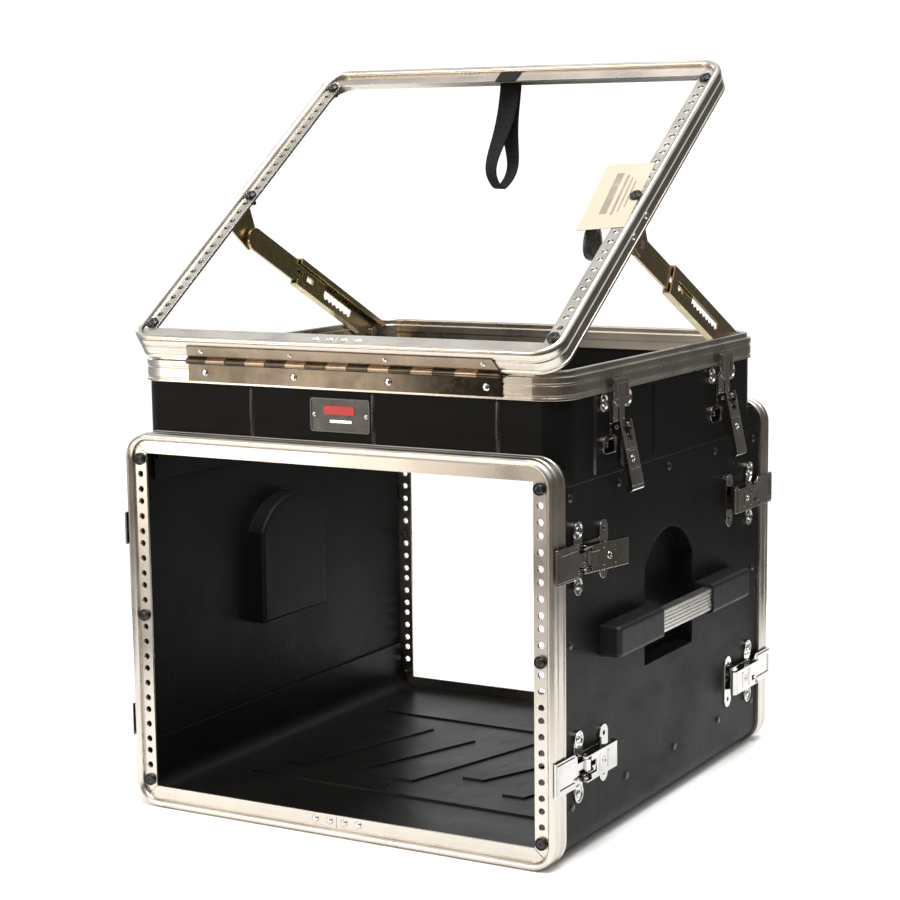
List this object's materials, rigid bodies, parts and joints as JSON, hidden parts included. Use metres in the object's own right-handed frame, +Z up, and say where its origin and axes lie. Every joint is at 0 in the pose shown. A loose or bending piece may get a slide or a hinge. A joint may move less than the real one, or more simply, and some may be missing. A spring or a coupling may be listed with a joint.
{
  "type": "equipment rack case",
  "caption": "Roadworthy moulded case with front and rear rack rails and a tipping top rack frame on stays.",
  "frame": {"origin": "on the resting surface, at the centre of the case's footprint", "axes": "+X to the case's right side, +Y to its back, +Z up; the open rack bay faces -Y"},
  "size_m": [0.5424, 0.548, 0.7738],
  "materials": {
    "satin_aluminium": "extruded, satin, fine lengthwise lines",
    "grained_black": "moulded with a coarse leather grain",
    "black_screw": "black oxide",
    "gloss_washer": "glossy black",
    "bright_chrome": "bright plated",
    "plain_steel": "zinc plated",
    "badge_metal": "satin dark plate with a pale rim",
    "cast_cap": "fine textured black",
    "yellow_zinc": "yellow passivated",
    "webbing": "flat woven webbing",
    "card": "uncoated board",
    "bag_film": "dark film bag"
  },
  "bodies": {
    "case": {"arm_pivot_brackets": "yellow_zinc", "arm_pivot_pins": "plain_steel", "badge_plate": "badge_metal", "badge_screws": "bright_chrome", "cup_washers_case": "gloss_washer", "floor_tray": "grained_black", "front_frame": "satin_aluminium", "handle_caps": "cast_cap", "handle_grips": "satin_aluminium", "hinge_lower_leaf": "bright_chrome", "hinge_pin": "plain_steel", "latch_bases": "bright_chrome", "latch_pins": "plain_steel", "panel_rivets": "black_screw", "plated_rivets": "plain_steel", "rack_screws_case": "black_screw", "rear_frame": "satin_aluminium", "seat_frame": "satin_aluminium", "side_panel_left": "grained_black", "side_panel_right": "grained_black", "top_collar": "grained_black"},
    "tipping_frame": {"lid_frame": "satin_aluminium", "rack_screws_lid": "black_screw", "cup_washers_lid": "gloss_washer", "hinge_upper_leaf": "bright_chrome", "hinge_screws": "plain_steel", "lid_rivets": "plain_steel", "arm_brackets": "yellow_zinc", "arm_rod_pins": "plain_steel", "header_card": "card", "hardware_bag": "bag_film"},
    "pull_strap": {"strap_loop": "webbing"},
    "stay_channel_right": {"arm_channel_right": "yellow_zinc"},
    "stay_bar_right": {"arm_rod_right": "yellow_zinc"},
    "stay_channel_left": {"arm_channel_left": "yellow_zinc"},
    "stay_bar_left": {"arm_rod_left": "yellow_zinc"},
    "lever_right_front_upper": {"latch_lever_right_front_upper": "bright_chrome"},
    "claw_right_front_upper": {"latch_claw_right_front_upper": "bright_chrome"},
    "lever_right_front_lower": {"latch_lever_right_front_lower": "bright_chrome"},
    "claw_right_front_lower": {"latch_claw_right_front_lower": "bright_chrome"},
    "lever_right_rear_upper": {"latch_lever_right_rear_upper": "bright_chrome"},
    "claw_right_rear_upper": {"latch_claw_right_rear_upper": "bright_chrome"},
    "lever_right_rear_lower": {"latch_lever_right_rear_lower": "bright_chrome"},
    "claw_right_rear_lower": {"latch_claw_right_rear_lower": "bright_chrome"},
    "lever_right_top_front": {"latch_lever_right_top_front": "bright_chrome"},
    "claw_right_top_front": {"latch_claw_right_top_front": "bright_chrome"},
    "lever_right_top_rear": {"latch_lever_right_top_rear": "bright_chrome"},
    "claw_right_top_rear": {"latch_claw_right_top_rear": "bright_chrome"},
    "lever_left_front_upper": {"latch_lever_left_front_upper": "bright_chrome"},
    "claw_left_front_upper": {"latch_claw_left_front_upper": "bright_chrome"},
    "lever_left_front_lower": {"latch_lever_left_front_lower": "bright_chrome"},
    "claw_left_front_lower": {"latch_claw_left_front_lower": "bright_chrome"},
    "lever_left_rear_upper": {"latch_lever_left_rear_upper": "bright_chrome"},
    "claw_left_rear_upper": {"latch_claw_left_rear_upper": "bright_chrome"},
    "lever_left_rear_lower": {"latch_lever_left_rear_lower": "bright_chrome"},
    "claw_left_rear_lower": {"latch_claw_left_rear_lower": "bright_chrome"},
    "lever_left_top_front": {"latch_lever_left_top_front": "bright_chrome"},
    "claw_left_top_front": {"latch_claw_left_top_front": "bright_chrome"},
    "lever_left_top_rear": {"latch_lever_left_top_rear": "bright_chrome"},
    "claw_left_top_rear": {"latch_claw_left_top_rear": "bright_chrome"}
  },
  "joints": [
    {"name": "lid_tilt", "type": "hinge", "parent": "case", "child": "tipping_frame", "pos_m": [0, -0.2549, 0.4733], "axis": [1, 0, 0], "range_deg": [-34.6, 0]},
    {"name": "strap_swing", "type": "hinge", "parent": "tipping_frame", "child": "pull_strap", "pos_m": [-0.0085, 0.13421, 0.75861], "axis": [1, 0, 0], "range_deg": [-5, 34.6]},
    {"name": "stay_turn_right", "type": "hinge", "parent": "case", "child": "stay_channel_right", "pos_m": [0.2345, 0.1965, 0.4655], "axis": [1, 0, 0], "range_deg": [-1, 30.6]},
    {"name": "stay_slide_right", "type": "slide", "parent": "stay_channel_right", "child": "stay_bar_right", "axis": [0, -0.8978, 0.4404], "range_m": [-0.0578, 0.001]},
    {"name": "stay_turn_left", "type": "hinge", "parent": "case", "child": "stay_channel_left", "pos_m": [-0.2345, 0.1965, 0.4655], "axis": [1, 0, 0], "range_deg": [-1, 30.6]},
    {"name": "stay_slide_left", "type": "slide", "parent": "stay_channel_left", "child": "stay_bar_left", "axis": [0, -0.8978, 0.4404], "range_m": [-0.0578, 0.001]},
    {"name": "lever_turn_right_front_upper", "type": "hinge", "parent": "case", "child": "lever_right_front_upper", "pos_m": [0.2538, -0.217, 0.2975], "axis": [0, 0, -1], "range_deg": [-12, 80]},
    {"name": "claw_turn_right_front_upper", "type": "hinge", "parent": "lever_right_front_upper", "child": "claw_right_front_upper", "pos_m": [0.25315, -0.20562, 0.2975], "axis": [0, 0, -1], "range_deg": [-81, 13]},
    {"name": "lever_turn_right_front_lower", "type": "hinge", "parent": "case", "child": "lever_right_front_lower", "pos_m": [0.2538, -0.217, 0.0925], "axis": [0, 0, -1], "range_deg": [0, 92]},
    {"name": "claw_turn_right_front_lower", "type": "hinge", "parent": "lever_right_front_lower", "child": "claw_right_front_lower", "pos_m": [0.2508, -0.206, 0.0925], "axis": [0, 0, -1], "range_deg": [-93, 1]},
    {"name": "lever_turn_right_rear_upper", "type": "hinge", "parent": "case", "child": "lever_right_rear_upper", "pos_m": [0.2538, 0.217, 0.2975], "axis": [0, 0, 1], "range_deg": [0, 92]},
    {"name": "claw_turn_right_rear_upper", "type": "hinge", "parent": "lever_right_rear_upper", "child": "claw_right_rear_upper", "pos_m": [0.2508, 0.206, 0.2975], "axis": [0, 0, 1], "range_deg": [-93, 1]},
    {"name": "lever_turn_right_rear_lower", "type": "hinge", "parent": "case", "child": "lever_right_rear_lower", "pos_m": [0.2538, 0.217, 0.0925], "axis": [0, 0, 1], "range_deg": [0, 92]},
    {"name": "claw_turn_right_rear_lower", "type": "hinge", "parent": "lever_right_rear_lower", "child": "claw_right_rear_lower", "pos_m": [0.2508, 0.206, 0.0925], "axis": [0, 0, 1], "range_deg": [-93, 1]},
    {"name": "lever_turn_right_top_front", "type": "hinge", "parent": "case", "child": "lever_right_top_front", "pos_m": [0.2538, -0.133, 0.4155], "axis": [0, -1, 0], "range_deg": [-12, 80]},
    {"name": "claw_turn_right_top_front", "type": "hinge", "parent": "lever_right_top_front", "child": "claw_right_top_front", "pos_m": [0.25315, -0.133, 0.40412], "axis": [0, -1, 0], "range_deg": [-81, 13]},
    {"name": "lever_turn_right_top_rear", "type": "hinge", "parent": "case", "child": "lever_right_top_rear", "pos_m": [0.2538, 0.134, 0.4155], "axis": [0, -1, 0], "range_deg": [-12, 80]},
    {"name": "claw_turn_right_top_rear", "type": "hinge", "parent": "lever_right_top_rear", "child": "claw_right_top_rear", "pos_m": [0.25315, 0.134, 0.40412], "axis": [0, -1, 0], "range_deg": [-81, 13]},
    {"name": "lever_turn_left_front_upper", "type": "hinge", "parent": "case", "child": "lever_left_front_upper", "pos_m": [-0.2538, -0.217, 0.2975], "axis": [0, 0, 1], "range_deg": [0, 92]},
    {"name": "claw_turn_left_front_upper", "type": "hinge", "parent": "lever_left_front_upper", "child": "claw_left_front_upper", "pos_m": [-0.2508, -0.206, 0.2975], "axis": [0, 0, 1], "range_deg": [-93, 1]},
    {"name": "lever_turn_left_front_lower", "type": "hinge", "parent": "case", "child": "lever_left_front_lower", "pos_m": [-0.2538, -0.217, 0.0925], "axis": [0, 0, 1], "range_deg": [0, 92]},
    {"name": "claw_turn_left_front_lower", "type": "hinge", "parent": "lever_left_front_lower", "child": "claw_left_front_lower", "pos_m": [-0.2508, -0.206, 0.0925], "axis": [0, 0, 1], "range_deg": [-93, 1]},
    {"name": "lever_turn_left_rear_upper", "type": "hinge", "parent": "case", "child": "lever_left_rear_upper", "pos_m": [-0.2538, 0.217, 0.2975], "axis": [0, 0, -1], "range_deg": [0, 92]},
    {"name": "claw_turn_left_rear_upper", "type": "hinge", "parent": "lever_left_rear_upper", "child": "claw_left_rear_upper", "pos_m": [-0.2508, 0.206, 0.2975], "axis": [0, 0, -1], "range_deg": [-93, 1]},
    {"name": "lever_turn_left_rear_lower", "type": "hinge", "parent": "case", "child": "lever_left_rear_lower", "pos_m": [-0.2538, 0.217, 0.0925], "axis": [0, 0, -1], "range_deg": [0, 92]},
    {"name": "claw_turn_left_rear_lower", "type": "hinge", "parent": "lever_left_rear_lower", "child": "claw_left_rear_lower", "pos_m": [-0.2508, 0.206, 0.0925], "axis": [0, 0, -1], "range_deg": [-93, 1]},
    {"name": "lever_turn_left_top_front", "type": "hinge", "parent": "case", "child": "lever_left_top_front", "pos_m": [-0.2538, -0.133, 0.4155], "axis": [0, 1, 0], "range_deg": [-12, 80]},
    {"name": "claw_turn_left_top_front", "type": "hinge", "parent": "lever_left_top_front", "child": "claw_left_top_front", "pos_m": [-0.25315, -0.133, 0.40412], "axis": [0, 1, 0], "range_deg": [-81, 13]},
    {"name": "lever_turn_left_top_rear", "type": "hinge", "parent": "case", "child": "lever_left_top_rear", "pos_m": [-0.2538, 0.134, 0.4155], "axis": [0, 1, 0], "range_deg": [-12, 80]},
    {"name": "claw_turn_left_top_rear", "type": "hinge", "parent": "lever_left_top_rear", "child": "claw_left_top_rear", "pos_m": [-0.25315, 0.134, 0.40412], "axis": [0, 1, 0], "range_deg": [-81, 13]}
  ],
  "couplings": [
    {"joint": "strap_swing", "follows": "lid_tilt", "ratio": -1},
    {"joint": "stay_turn_right", "follows": "lid_tilt", "ratio": -0.8561},
    {"joint": "stay_slide_right", "follows": "lid_tilt", "m_per_rad": 0.09413},
    {"joint": "stay_turn_left", "follows": "lid_tilt", "ratio": -0.8561},
    {"joint": "stay_slide_left", "follows": "lid_tilt", "m_per_rad": 0.09413},
    {"joint": "claw_turn_right_front_upper", "follows": "lever_turn_right_front_upper", "ratio": -1},
    {"joint": "claw_turn_right_front_lower", "follows": "lever_turn_right_front_lower", "ratio": -1},
    {"joint": "claw_turn_right_rear_upper", "follows": "lever_turn_right_rear_upper", "ratio": -1},
    {"joint": "claw_turn_right_rear_lower", "follows": "lever_turn_right_rear_lower", "ratio": -1},
    {"joint": "claw_turn_right_top_front", "follows": "lever_turn_right_top_front", "ratio": -1},
    {"joint": "claw_turn_right_top_rear", "follows": "lever_turn_right_top_rear", "ratio": -1},
    {"joint": "claw_turn_left_front_upper", "follows": "lever_turn_left_front_upper", "ratio": -1},
    {"joint": "claw_turn_left_front_lower", "follows": "lever_turn_left_front_lower", "ratio": -1},
    {"joint": "claw_turn_left_rear_upper", "follows": "lever_turn_left_rear_upper", "ratio": -1},
    {"joint": "claw_turn_left_rear_lower", "follows": "lever_turn_left_rear_lower", "ratio": -1},
    {"joint": "claw_turn_left_top_front", "follows": "lever_turn_left_top_front", "ratio": -1},
    {"joint": "claw_turn_left_top_rear", "follows": "lever_turn_left_top_rear", "ratio": -1}
  ]
}
